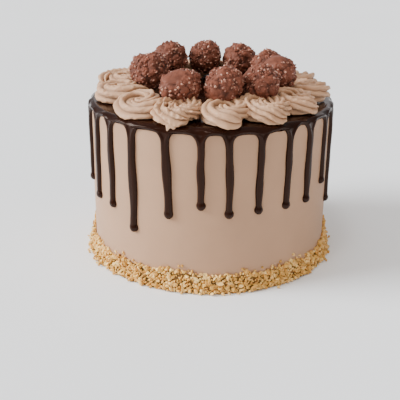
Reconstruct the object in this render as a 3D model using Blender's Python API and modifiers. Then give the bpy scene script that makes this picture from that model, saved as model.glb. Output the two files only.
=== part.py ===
"""Round drip cake: buttercream coat, poured chocolate glaze with long drips, a ring of piped rosettes,
nine crunchy chocolate balls set into them, and a foot of chopped hazelnuts.

Units are metres and +Z is up. The origin is the centre of the cake's underside, and the front is -Y."""

import math
import random

import bmesh
import bpy
from mathutils import Matrix, Vector

MM = 0.001
MERGE_DISTANCE = 0.01 * MM
SHARP_ANGLE = math.radians(35)
SEED = 7

# The coated cake, an 8 inch round
CAKE_RADIUS = 101.5 * MM
CAKE_HEIGHT = 132.0 * MM
RIM_ROUNDING = 4.0 * MM
RIM_STEPS = 3
CAKE_SIDES = 84

# The glaze lies this far off the cake, so that its flat facets stay clear of it
GLAZE_LIFT = 0.6 * MM
GLAZE_THICKNESS = 2.4 * MM
GLAZE_COLUMNS = 2
SCALLOP_DROP = 4.0 * MM
SCALLOP_CORNER = (7.0 * MM, 8.0 * MM)
SCALLOP_TURNS = (55.0, 25.0, 0.0)
DRIP_HALF_WIDTH = 2.4 * MM
DROP_HALF_WIDTH = 3.1 * MM
DROP_LENGTH = 8.0 * MM
DROP_TURNS = (0.0, 50.0)

# How much of the glaze's thickness is left at its scalloped edge, along the drips and at their tips
SCALLOP_SHARE = 0.5
EDGE_SHARE = 0.3
DRIP_SHARE = 0.85
TIP_SHARE = 0.5

# Front drips from left to right: angle round the cake in degrees, and height of the tip
FRONT_DRIPS = (
    (-166.0, 66.0 * MM),
    (-152.6, 57.0 * MM),
    (-138.8, 57.0 * MM),
    (-125.2, 43.5 * MM),
    (-108.2, 61.0 * MM),
    (-93.7, 70.0 * MM),
    (-82.0, 63.0 * MM),
    (-68.6, 64.5 * MM),
    (-54.6, 64.5 * MM),
    (-41.5, 64.0 * MM),
    (-27.2, 72.0 * MM),
    (-14.0, 49.0 * MM),
)
BACK_DRIPS = 14
BACK_DRIP_TIPS = (46.0 * MM, 74.0 * MM)
BACK_DRIP_STRAY = 1.6

# Piped rosettes: where each stands on its ring, in degrees, from the front anticlockwise
ROSETTE_ANGLES = (-83, -58, -33, -5, 23, 51, 79, 107, 135, 163, 191, 221, 251)
ROSETTE_RING = 80.0 * MM
ROSETTE_REACH_OUT = 23.0 * MM
ROSETTE_REACH_IN = 22.5 * MM
ROSETTE_GAP = 0.25 * MM
ROSETTE_BASE = CAKE_HEIGHT + GLAZE_LIFT + GLAZE_THICKNESS + 0.3 * MM
ROSETTE_SIDES = 22
ROSETTE_LOBES = 8
ROSETTE_LOBE_DEPTH = 0.05
ROSETTE_COIL_TURNS = 1.2
ROSETTE_COIL_DEPTH = 3.4 * MM
ROSETTE_COIL_START = (-30.0, 50.0)
# Share of the reach and height, from the peak over the swirl to the underside
ROSETTE_PROFILE = (
    (0.0, 15.0 * MM),
    (0.20, 14.0 * MM),
    (0.40, 13.0 * MM),
    (0.60, 12.5 * MM),
    (0.80, 11.0 * MM),
    (0.95, 7.5 * MM),
    (1.0, 3.5 * MM),
    (0.93, 0.0),
    (0.0, 0.0),
)

# Crunchy balls: angle in degrees and distance from the axis, from the front left anticlockwise
BALL_PLACES = (
    (-111.0, 62.0 * MM),
    (-80.0, 58.5 * MM),
    (-49.0, 60.0 * MM),
    (-15.0, 56.0 * MM),
    (25.0, 54.5 * MM),
    (65.5, 60.0 * MM),
    (96.0, 60.5 * MM),
    (126.5, 61.5 * MM),
    (-174.0, 53.5 * MM),
)
BALL_RADIUS = 15.2 * MM
BALL_RELIEF = 1.1 * MM
BALL_CENTRE_HEIGHT = CAKE_HEIGHT + 23.0 * MM
BALL_SEAT_GAP = 0.8 * MM

# Chopped hazelnuts banked against the foot of the cake: distance from its side, and height
NUT_BANK_STEPS = 120
NUT_BANK_PROFILE = (
    (-2.5 * MM, 13.5 * MM),
    (1.6 * MM, 13.0 * MM),
    (3.4 * MM, 8.5 * MM),
    (5.2 * MM, 4.5 * MM),
    (6.4 * MM, 0.0),
    (-2.5 * MM, 0.0),
)
NUT_BANK_RELIEF = 1.3 * MM
NUT_COUNT = 66
NUT_SIZES = (3.2 * MM, 5.4 * MM)
NUT_SHAPE = (1.0, 0.8, 0.62)
NUT_TAPER = 0.35
NUT_STRAY = 0.3
NUT_LEVELS = (0.12, 0.45, 0.75, 1.0)
NUT_FOOT = (7.0 * MM, 1.6 * MM)
NUT_TOP = (1.0 * MM, 15.0 * MM)
FLOOR_CLEARANCE = 0.3 * MM


def linear(*srgb):
    """Colour as the shader wants it, from the 0 to 255 values that a screen shows."""
    shares = [value / 255 for value in srgb]
    return [s / 12.92 if s <= 0.04045 else ((s + 0.055) / 1.055) ** 2.4 for s in shares] + [1.0]


def make_material(name, colour, roughness, metallic=0.0):
    material = bpy.data.materials.new(name)
    material.use_nodes = True
    shader = material.node_tree.nodes["Principled BSDF"]
    shader.inputs["Base Color"].default_value = colour
    shader.inputs["Roughness"].default_value = roughness
    shader.inputs["Metallic"].default_value = metallic
    material.diffuse_color = colour
    return material


def new_object(name, mesh, material, collection):
    item = bpy.data.objects.new(name, mesh)
    collection.objects.link(item)
    if material:
        mesh.materials.clear()
        mesh.materials.append(material)
    return item


def mesh_from(name, shape):
    """Turns a bmesh into a mesh and frees it."""
    mesh = bpy.data.meshes.new(name)
    shape.to_mesh(mesh)
    shape.free()
    return mesh


def on_circle(angle, radius, height):
    return Vector((radius * math.cos(angle), radius * math.sin(angle), height))


def turned(name, profile, steps, material, collection, closed=False):
    """Turns an outline of (radius, height) points about the axis with a Screw modifier."""
    mesh = bpy.data.meshes.new(name)
    edges = [(i, i + 1) for i in range(len(profile) - 1)]
    if closed:
        edges.append((len(profile) - 1, 0))
    mesh.from_pydata([(radius, 0.0, height) for radius, height in profile], edges, [])
    item = new_object(name, mesh, material, collection)
    screw = item.modifiers.new("Turn", "SCREW")
    screw.steps = steps
    screw.render_steps = steps
    screw.use_merge_vertices = True
    screw.merge_threshold = MERGE_DISTANCE
    return item


def applied(item):
    """Replaces an object's mesh by what its modifiers make of it."""
    bpy.context.view_layer.update()
    depsgraph = bpy.context.evaluated_depsgraph_get()
    mesh = bpy.data.meshes.new_from_object(item.evaluated_get(depsgraph))
    item.modifiers.clear()
    item.data = mesh
    return item


def remove_collection(collection):
    for item in list(collection.objects):
        bpy.data.objects.remove(item)
    bpy.data.collections.remove(collection)


# Cake and hazelnut foot


def rim_point(turn, lift=0.0):
    """Point of the rounded top edge. Turn runs from 0 at the flat top to a quarter turn at the side."""
    radius = CAKE_RADIUS - RIM_ROUNDING + (RIM_ROUNDING + lift) * math.sin(turn)
    height = CAKE_HEIGHT - RIM_ROUNDING + (RIM_ROUNDING + lift) * math.cos(turn)
    return radius, height


def make_nut_bank(rng, collection):
    """Low slope of nuts: a turned outline whose outer points are shaken by the size of a nut."""
    profile = [(CAKE_RADIUS + out, height) for out, height in NUT_BANK_PROFILE]
    bank = applied(turned("nut_bank", profile, NUT_BANK_STEPS, None, collection, closed=True))
    for vertex in bank.data.vertices:
        spot = vertex.co
        radius = math.hypot(spot.x, spot.y)
        if radius < CAKE_RADIUS:
            continue
        shake = 1.0 + rng.uniform(-NUT_BANK_RELIEF, NUT_BANK_RELIEF) / radius
        spot.x *= shake
        spot.y *= shake
        if spot.z > 0:
            spot.z += rng.uniform(-NUT_BANK_RELIEF, NUT_BANK_RELIEF)
    return bank


def make_nut(rng, index, collection):
    """One chopped piece, a tapered block half sunk in the slope."""
    shape = bmesh.new()
    bmesh.ops.create_cube(shape, size=1.0)
    size = rng.uniform(*NUT_SIZES)
    for vertex in shape.verts:
        taper = 1.0 - NUT_TAPER * (vertex.co.z + 0.5)
        vertex.co *= Vector((taper, taper, 1.0)) * size
        vertex.co *= Vector(NUT_SHAPE)
    level = rng.choice(NUT_LEVELS)
    out = NUT_FOOT[0] + (NUT_TOP[0] - NUT_FOOT[0]) * level
    height = NUT_FOOT[1] + (NUT_TOP[1] - NUT_FOOT[1]) * level
    angle = math.tau * (index + rng.uniform(-NUT_STRAY, NUT_STRAY)) / NUT_COUNT
    place = Matrix.Translation(on_circle(angle, CAKE_RADIUS + out, height))
    place = place @ Matrix.Rotation(rng.uniform(0, math.tau), 4, "Z")
    place = place @ Matrix.Rotation(rng.uniform(0, math.pi), 4, "X")
    bmesh.ops.transform(shape, matrix=place, verts=shape.verts)
    lowest = min(vertex.co.z for vertex in shape.verts)
    if lowest < FLOOR_CLEARANCE:
        bmesh.ops.translate(shape, vec=(0, 0, FLOOR_CLEARANCE - lowest), verts=shape.verts)
    return new_object(f"nut_{index}", mesh_from("nut", shape), None, collection)


def make_cake(material, parts):
    profile = [(0.0, CAKE_HEIGHT)]
    profile += [rim_point(i * math.pi / 2 / RIM_STEPS) for i in range(RIM_STEPS + 1)]
    profile += [(CAKE_RADIUS, 0.0), (0.0, 0.0)]
    cake = applied(turned("cake", profile, CAKE_SIDES, material, parts))
    rng = random.Random(SEED)
    nuts = bpy.data.collections.new("loose nuts")
    bpy.context.scene.collection.children.link(nuts)
    make_nut_bank(rng, nuts)
    for index in range(NUT_COUNT):
        make_nut(rng, index, nuts)
    join = cake.modifiers.new("Join nuts", "BOOLEAN")
    join.operation = "UNION"
    join.operand_type = "COLLECTION"
    join.collection = nuts
    join.solver = "MANIFOLD"
    applied(cake)
    remove_collection(nuts)
    return cake


# Chocolate glaze


def drip_places():
    """Angle and tip height of each drip, in order round the cake: the front ones, then the back ones."""
    rng = random.Random(SEED + 1)
    first, last = FRONT_DRIPS[0][0] + 360, FRONT_DRIPS[-1][0]
    step = (first - last) / (BACK_DRIPS + 1)
    back = []
    for index in range(1, BACK_DRIPS + 1):
        angle = last + index * step + rng.uniform(-BACK_DRIP_STRAY, BACK_DRIP_STRAY)
        back.append((angle, rng.uniform(*BACK_DRIP_TIPS)))
    return [(math.radians(angle), tip) for angle, tip in list(FRONT_DRIPS) + back]


def glaze_rows(tip, left, right):
    """Rows of one drip's strip, from the middle of the top over the rim and down to the tip. A row is its
    radius and height, its reach to the left and right in radians, and its thickness at edge and middle."""
    side = CAKE_RADIUS + GLAZE_LIFT
    top = CAKE_HEIGHT + GLAZE_LIFT
    over_rim = [(0.0, top), (CAKE_RADIUS / 2, top)]
    over_rim += [rim_point(turn, GLAZE_LIFT) for turn in (0.0, math.pi / 4)]
    rows = [(radius, height, left, right, 1.0, 1.0) for radius, height in over_rim]
    crown = CAKE_HEIGHT - SCALLOP_DROP
    rows.append((side, crown, left, right, SCALLOP_SHARE, DRIP_SHARE))

    def add_drip_row(height, half_width, share):
        reach = half_width / side
        rows.append((side, height, reach, reach, min(EDGE_SHARE, share), share))

    across, down = SCALLOP_CORNER
    for turn in SCALLOP_TURNS:
        flare = across * (1 - math.cos(math.radians(turn)))
        add_drip_row(crown - down * (1 - math.sin(math.radians(turn))), DRIP_HALF_WIDTH + flare, DRIP_SHARE)
    neck = tip + DROP_LENGTH
    add_drip_row((crown - down + neck) / 2, DRIP_HALF_WIDTH, DRIP_SHARE)
    add_drip_row(neck, DRIP_HALF_WIDTH, DRIP_SHARE)
    for turn in DROP_TURNS:
        sink = math.sin(math.radians(turn))
        add_drip_row(tip + DROP_HALF_WIDTH * (1 - sink), DROP_HALF_WIDTH * math.sqrt(1 - sink**2), 1.0)
    add_drip_row(tip, 0.0, TIP_SHARE)
    return rows


def make_glaze(material, parts):
    """A sheet given its wall by Solidify. Each drip's strip is a grid bent over the rim and down the side,
    and a vertex group holds its thickness, which falls towards the free edges."""
    drips = drip_places()
    shape = bmesh.new()
    thickness = shape.verts.layers.deform.verify()
    for index, (angle, tip) in enumerate(drips):
        left = (angle - drips[index - 1][0]) % math.tau / 2
        right = (drips[(index + 1) % len(drips)][0] - angle) % math.tau / 2
        rows = glaze_rows(tip, left, right)
        strip = bmesh.ops.create_grid(shape, x_segments=GLAZE_COLUMNS, y_segments=len(rows) - 1, size=1.0)
        for vertex in strip["verts"]:
            across = vertex.co.x
            row = round((1 - vertex.co.y) / 2 * (len(rows) - 1))
            radius, height, reach_left, reach_right, edge_share, middle_share = rows[row]
            reach = reach_right if across > 0 else reach_left
            vertex[thickness][0] = middle_share + (edge_share - middle_share) * abs(across)
            vertex.co = on_circle(angle + across * reach, radius, height)
    bmesh.ops.remove_doubles(shape, verts=shape.verts, dist=MERGE_DISTANCE)
    glaze = new_object("glaze", mesh_from("glaze", shape), material, parts)
    glaze.vertex_groups.new(name="thickness")
    wall = glaze.modifiers.new("Wall", "SOLIDIFY")
    wall.thickness = GLAZE_THICKNESS
    wall.offset = 1.0
    wall.vertex_group = "thickness"
    return glaze


# Piped rosettes


def rosette_limits(index):
    """Half of the slice that a rosette may fill, clockwise and anticlockwise, between its neighbours."""
    count = len(ROSETTE_ANGLES)
    here = ROSETTE_ANGLES[index]
    before = (here - ROSETTE_ANGLES[index - 1]) % 360
    after = (ROSETTE_ANGLES[(index + 1) % count] - here) % 360
    return math.radians(before / 2), math.radians(after / 2)


def rosette_reach(direction, before, after):
    """Reach of the swirl in one direction, which never passes the sides of its slice of the ring."""
    reach = ROSETTE_REACH_OUT if math.cos(direction) > 0 else ROSETTE_REACH_IN
    slice_angle = after if math.sin(direction) > 0 else before
    closing = math.sin(abs(direction) - slice_angle)
    if closing > 0:
        reach = min(reach, (ROSETTE_RING * math.sin(slice_angle) - ROSETTE_GAP) / closing)
    return reach


def seat_height(x, y):
    """Highest that cream may stand at a point of the top, so that it stays under the balls."""
    lowest = math.inf
    for index in range(len(BALL_PLACES)):
        centre = ball_centre(index)
        apart = math.hypot(x - centre.x, y - centre.y)
        reach = BALL_RADIUS + BALL_SEAT_GAP
        if apart < reach:
            lowest = min(lowest, centre.z - math.sqrt(reach**2 - apart**2))
    return lowest


def make_rosette(index, material, parts):
    """A ball of mesh pulled into a swirl: a dome with one spiral crest, scalloped round its edge and dented
    by the balls that were pressed into it."""
    rng = random.Random(100 * SEED + index)
    coil_start = math.radians(rng.uniform(*ROSETTE_COIL_START))
    before, after = rosette_limits(index)
    place = Matrix.Rotation(math.radians(ROSETTE_ANGLES[index]), 4, "Z")
    place = place @ Matrix.Translation((ROSETTE_RING, 0.0, ROSETTE_BASE))
    rings = len(ROSETTE_PROFILE) - 1
    shape = bmesh.new()
    bmesh.ops.create_uvsphere(shape, u_segments=ROSETTE_SIDES, v_segments=rings, radius=1.0)
    for vertex in shape.verts:
        ring = round(math.acos(max(-1.0, min(1.0, vertex.co.z))) / math.pi * rings)
        share, height = ROSETTE_PROFILE[ring]
        direction = math.atan2(vertex.co.y, vertex.co.x)
        lobe = math.cos(ROSETTE_LOBES * (direction - coil_start))
        out = share * rosette_reach(direction, before, after) * (1 + ROSETTE_LOBE_DEPTH * (lobe - 1))
        if height > 0:
            crest = math.cos(direction - coil_start - math.tau * ROSETTE_COIL_TURNS * (share - 1))
            height += ROSETTE_COIL_DEPTH * crest * math.sin(math.pi * share)
        spot = place @ Vector((out * math.cos(direction), out * math.sin(direction), height))
        spot.z = min(spot.z, seat_height(spot.x, spot.y))
        vertex.co = spot
    return new_object(f"rosette_{index + 1:02d}", mesh_from("rosette", shape), material, parts)


# Crunchy chocolate balls


def ball_centre(index):
    angle, ring = BALL_PLACES[index]
    return on_circle(math.radians(angle), ring, BALL_CENTRE_HEIGHT)


def make_ball(index, material, parts):
    """Sphere with a craggy skin: each point is sunk by a random share of the relief."""
    rng = random.Random(200 * SEED + index)
    shape = bmesh.new()
    bmesh.ops.create_icosphere(shape, subdivisions=3, radius=BALL_RADIUS)
    for vertex in shape.verts:
        vertex.co *= 1 - rng.random() * BALL_RELIEF / BALL_RADIUS
    ball = new_object(f"ball_{index + 1}", mesh_from("ball", shape), material, parts)
    ball.location = ball_centre(index)
    return ball


def main():
    for item in list(bpy.data.objects):
        bpy.data.objects.remove(item)
    parts = bpy.data.collections.new("drip cake")
    bpy.context.scene.collection.children.link(parts)

    coat = make_material("buttercream coat", linear(198, 174, 158), 0.6)
    chocolate = make_material("chocolate glaze", linear(62, 40, 34), 0.18)
    piping = make_material("piped buttercream", linear(206, 180, 163), 0.55)
    crunch = make_material("crunchy chocolate", linear(125, 82, 66), 0.4)

    make_cake(coat, parts)
    make_glaze(chocolate, parts)
    for index in range(len(BALL_PLACES)):
        make_ball(index, crunch, parts)
    for index in range(len(ROSETTE_ANGLES)):
        make_rosette(index, piping, parts)
    for item in parts.objects:
        item.data.shade_smooth()
        item.data.set_sharp_from_angle(angle=SHARP_ANGLE)


main()
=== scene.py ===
"""Looks of the drip cake, as an add-on whose operators build one piece, or one group of like pieces, each.

Units are metres. The cake stands at the origin, +Z is up and the front is -Y."""

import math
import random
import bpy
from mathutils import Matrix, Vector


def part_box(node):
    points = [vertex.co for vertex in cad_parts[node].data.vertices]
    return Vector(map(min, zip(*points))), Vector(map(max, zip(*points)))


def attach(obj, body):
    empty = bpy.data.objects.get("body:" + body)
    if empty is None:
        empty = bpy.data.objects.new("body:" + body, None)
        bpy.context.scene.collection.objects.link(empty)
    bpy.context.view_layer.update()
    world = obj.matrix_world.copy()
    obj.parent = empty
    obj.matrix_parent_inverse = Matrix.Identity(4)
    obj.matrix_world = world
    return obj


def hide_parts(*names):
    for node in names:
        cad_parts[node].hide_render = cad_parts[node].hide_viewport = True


bl_info = {
    "name": "Drip Cake",
    "version": (1, 0, 0),
    "blender": (4, 5, 0),
    "location": "View3D > Sidebar > Drip Cake",
    "description": "Buttercream cake with a chocolate drip glaze, piped rosettes, crunchy balls and nuts",
    "category": "Add Mesh",
}

import bpy
import numpy as np
from bpy.props import FloatProperty, FloatVectorProperty, PointerProperty
from mathutils import Matrix, Vector

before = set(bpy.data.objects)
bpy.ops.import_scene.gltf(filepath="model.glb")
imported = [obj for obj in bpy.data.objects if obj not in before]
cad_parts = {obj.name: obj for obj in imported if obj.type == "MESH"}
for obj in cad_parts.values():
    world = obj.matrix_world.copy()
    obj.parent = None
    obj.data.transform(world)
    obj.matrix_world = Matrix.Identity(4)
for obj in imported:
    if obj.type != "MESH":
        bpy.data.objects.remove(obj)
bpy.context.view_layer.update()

MM = 0.001
SEED = 7

# Front drips from left to right: angles at the rim and at the tip in degrees, height of the tip, and share
# of the usual width
FRONT_DRIPS = (
    (-166.0, -166.0, 64.8 * MM, 1.2),
    (-152.5, -152.9, 56.4 * MM, 1.18),
    (-139.8, -139.3, 56.3 * MM, 1.08),
    (-125.9, -125.6, 42.3 * MM, 1.14),
    (-109.3, -107.8, 59.7 * MM, 1.1),
    (-93.7, -93.5, 68.8 * MM, 0.92),
    (-81.9, -81.4, 62.0 * MM, 0.92),
    (-67.8, -68.2, 63.7 * MM, 0.91),
    (-53.5, -54.1, 63.6 * MM, 0.95),
    (-40.4, -40.9, 63.1 * MM, 1.0),
    (-26.2, -26.6, 71.8 * MM, 0.88),
    (-14.4, -14.2, 48.3 * MM, 1.0),
)
BACK_DRIPS = 14
BACK_DRIP_TIPS = (46.0 * MM, 74.0 * MM)
# How far a back drip strays from even spacing, in degrees
BACK_DRIP_STRAY = 1.6

# Rosettes: angle round the cake in degrees, shift outward from the ring in millimetres, direction of the
# tail in degrees from straight outward, turns that the ridges roll, number of ridges, shares of the usual
# coil and rope radius, and how steeply it leans outward
ROSETTES = (
    (-80.0, 0.0, 20, 0.8, 6, 0.97, 0.91, 0.12),
    (-57.0, 0.0, 10, 1.2, 8, 0.96, 0.95, 0.12),
    (-32, -1.0, 5, 1.15, 7, 1.0, 0.97, 0.08),
    (-4, -4.5, 10, 1.05, 7, 1.0, 1.0, -0.08),
    (24, -4.0, 15, 0.9, 6, 1.0, 1.0, -0.05),
    (51, -1.0, 40, 0.7, 6, 1.0, 1.0, 0.12),
    (79, 0.0, 25, 1.0, 7, 1.0, 1.0, 0.12),
    (107, 0.5, 45, 0.8, 6, 1.0, 1.0, 0.12),
    (137, 0.5, 20, 1.1, 7, 1.0, 1.0, 0.0),
    (163, -2.0, 50, 0.7, 6, 1.0, 1.0, 0.05),
    (193, -3.0, 150, 0.5, 6, 0.92, 0.97, 0.12),
    (227, 0.6, 125, 0.6, 6, 0.98, 0.97, 0.26),
    (254, 1.0, 38, 1.1, 8, 0.97, 0.91, 0.12),
)
BALL_COUNT = 9


class CakeSettings(bpy.types.PropertyGroup):
    """Sizes and colours of the cake that a user would change."""

    coat_radius: FloatProperty(
        name="Cake radius", description="Radius of the buttercream coat",
        default=101.5 * MM, unit="LENGTH",
    )
    coat_height: FloatProperty(
        name="Cake height", description="Height of the flat top of the coat",
        default=132.0 * MM, unit="LENGTH",
    )
    rim_rounding: FloatProperty(
        name="Rim rounding", description="Radius of the coat's top edge",
        default=4.0 * MM, unit="LENGTH",
    )
    glaze_thickness: FloatProperty(
        name="Glaze thickness", description="Thickness of the glaze on the top",
        default=2.6 * MM, unit="LENGTH",
    )
    drip_width: FloatProperty(
        name="Drip width", description="Usual width of a drip",
        default=6.3 * MM, unit="LENGTH",
    )
    drop_width: FloatProperty(
        name="Drop width", description="Width of the drop at a drip's tip",
        default=7.5 * MM, unit="LENGTH",
    )
    rosette_ring: FloatProperty(
        name="Rosette ring", description="Radius of the ring of rosettes",
        default=80.0 * MM, unit="LENGTH",
    )
    rope_radius: FloatProperty(
        name="Piping radius", description="Radius of the piped rope of cream",
        default=8.8 * MM, unit="LENGTH",
    )
    ball_radius: FloatProperty(
        name="Ball radius", description="Radius of a ball without its nut bumps",
        default=13.8 * MM, unit="LENGTH",
    )
    nut_size: FloatProperty(
        name="Nut size", description="Usual length of a chopped nut piece",
        default=4.3 * MM, unit="LENGTH",
    )
    nut_band: FloatProperty(
        name="Nut band height", description="Usual height of the nut band",
        default=15.5 * MM, unit="LENGTH",
    )
    coat_colour: FloatVectorProperty(
        name="Buttercream", description="Colour of the coat",
        default=(0.43, 0.25, 0.148), subtype="COLOR",
    )
    piping_colour: FloatVectorProperty(
        name="Piping", description="Colour of the rosettes",
        default=(0.47, 0.272, 0.158), subtype="COLOR",
    )
    glaze_colour: FloatVectorProperty(
        name="Glaze", description="Colour of the chocolate glaze",
        default=(0.014, 0.0035, 0.0015), subtype="COLOR",
    )
    ball_colour: FloatVectorProperty(
        name="Ball", description="Colour of the balls' chocolate",
        default=(0.155, 0.049, 0.028), subtype="COLOR",
    )
    nut_colour: FloatVectorProperty(
        name="Nuts", description="Colour of the chopped nuts",
        default=(0.69, 0.37, 0.085), subtype="COLOR",
    )


# Meshes from arrays


RIPPLE_WAVES = 8
RIPPLE_PACE = (0.7, 1.5)
RIPPLE_GAIN = 1.8


def new_piece(name, points, quads, triangles=None):
    """Makes a smooth mesh object of an array of points and arrays of four and three point faces."""
    triangles = np.zeros((0, 3), int) if triangles is None else triangles
    mesh = bpy.data.meshes.new(name)
    mesh.vertices.add(len(points))
    mesh.vertices.foreach_set("co", np.asarray(points, np.float32).ravel())
    corners = np.concatenate((quads.ravel(), triangles.ravel())).astype(np.int32)
    starts = np.concatenate((np.arange(len(quads)) * 4, len(quads) * 4 + np.arange(len(triangles)) * 3))
    mesh.loops.add(len(corners))
    mesh.loops.foreach_set("vertex_index", corners)
    mesh.polygons.add(len(starts))
    mesh.polygons.foreach_set("loop_start", starts.astype(np.int32))
    mesh.update(calc_edges=True)
    mesh.validate()
    mesh.shade_smooth()
    piece = bpy.data.objects.new(name, mesh)
    bpy.context.scene.collection.objects.link(piece)
    return piece


def store(piece, name, values):
    """Keeps one number for each point of a mesh, for its material to read."""
    layer = piece.data.attributes.new(name, "FLOAT", "POINT")
    layer.data.foreach_set("value", np.asarray(values, np.float32).ravel())


def finish_piece(piece, material, slot, *nodes):
    """Gives a piece its material and its body, and hides the nodes that it stands for, if there are any. The
    slot is not used.
    """
    piece.data.materials.append(material)
    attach(piece, "root")
    if nodes:
        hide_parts(*nodes)


def grid_quads(rows, columns, wrap_rows=False, wrap_columns=True):
    """Faces of a grid numbered row by row. They face the side that rows crossed with columns point to."""
    row = np.arange(rows if wrap_rows else rows - 1)[:, None]
    column = np.arange(columns if wrap_columns else columns - 1)[None, :]
    here, below = row * columns, (row + 1) % rows * columns
    across = (column + 1) % columns
    return np.stack((here + column, below + column, below + across, here + across), axis=-1).reshape(-1, 4)


def closed_tube(points, first, last):
    """Points and faces of a tube with wrapped columns, whose two ends are closed by fans to a point each."""
    rows, columns = points.shape[:2]
    column = np.arange(columns)
    across = (column + 1) % columns
    start, end = rows * columns, rows * columns + 1
    bottom = (rows - 1) * columns
    fans = np.concatenate((
        np.stack((np.full(columns, start), column, across), axis=-1),
        np.stack((np.full(columns, end), bottom + across, bottom + column), axis=-1),
    ))
    return np.concatenate((points.reshape(-1, 3), [first, last])), grid_quads(rows, columns), fans


def on_circle(radius, angle, height):
    """Points at a distance from the axis, an angle round it and a height."""
    return np.stack(np.broadcast_arrays(radius * np.cos(angle), radius * np.sin(angle), height), axis=-1)


def unit(vectors):
    """The same directions with a length of 1."""
    return vectors / np.linalg.norm(vectors, axis=-1, keepdims=True)


def ripple(points, wavelength, seed):
    """Smooth unevenness between about -1 and 1: the mean of eight sine waves in random directions."""
    rng = np.random.default_rng(seed)
    directions = unit(rng.normal(size=(RIPPLE_WAVES, 3)))
    waves = math.tau / wavelength * rng.uniform(*RIPPLE_PACE, (RIPPLE_WAVES, 1))
    phases = rng.uniform(0, math.tau, RIPPLE_WAVES)
    return RIPPLE_GAIN * np.sin(points @ (directions * waves).T + phases).mean(axis=-1)


def ripples(points, wavelength, seed):
    """Three ripples with seeds in a row, one for each axis."""
    return np.stack([ripple(points, wavelength, seed + axis) for axis in range(3)], axis=-1)


def smooth_step(x):
    """Rises from 0 at 0 to 1 at 1 and levels off at both ends."""
    x = np.clip(x, 0, 1)
    return x * x * (3 - 2 * x)


def round_share(x):
    """Height of a quarter circle over its radius, from 0 at its edge to 1 at its crown."""
    return np.sqrt(np.clip(1 - (1 - np.clip(x, 0, 1)) ** 2, 0, 1))


def coat_point(settings, angle, down, lift):
    """Point of the coat's outline, moved out by lift. Down is measured along the outline from the edge of
    the flat top: below 0 it is on the top, then it goes round the rim, and then down the side."""
    rim = settings.rim_rounding
    turn = np.clip(down / rim, 0, math.pi / 2)
    radius = settings.coat_radius - rim + np.minimum(down, 0) + (rim + lift) * np.sin(turn)
    side = np.maximum(down - rim * math.pi / 2, 0)
    height = settings.coat_height - rim - side + (rim + lift) * np.cos(turn)
    return on_circle(radius, angle, height)


# Materials


CREAM_SCATTER = {"Subsurface_Scale": 4.0 * MM, "Subsurface_Radius": (1.0, 0.7, 0.5)}
PALE_NUT = (0.86, 0.57, 0.215)
CHIP_COLOUR = (0.27, 0.108, 0.07)
PALE_CHIP = (0.60, 0.33, 0.24)
FLOOR_TONE = (0.9, 0.9, 0.9)
FLOOR_TONES = ((0.3, (0.88, 0.88, 0.88)), (0.7, (0.91, 0.91, 0.91)))


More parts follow.
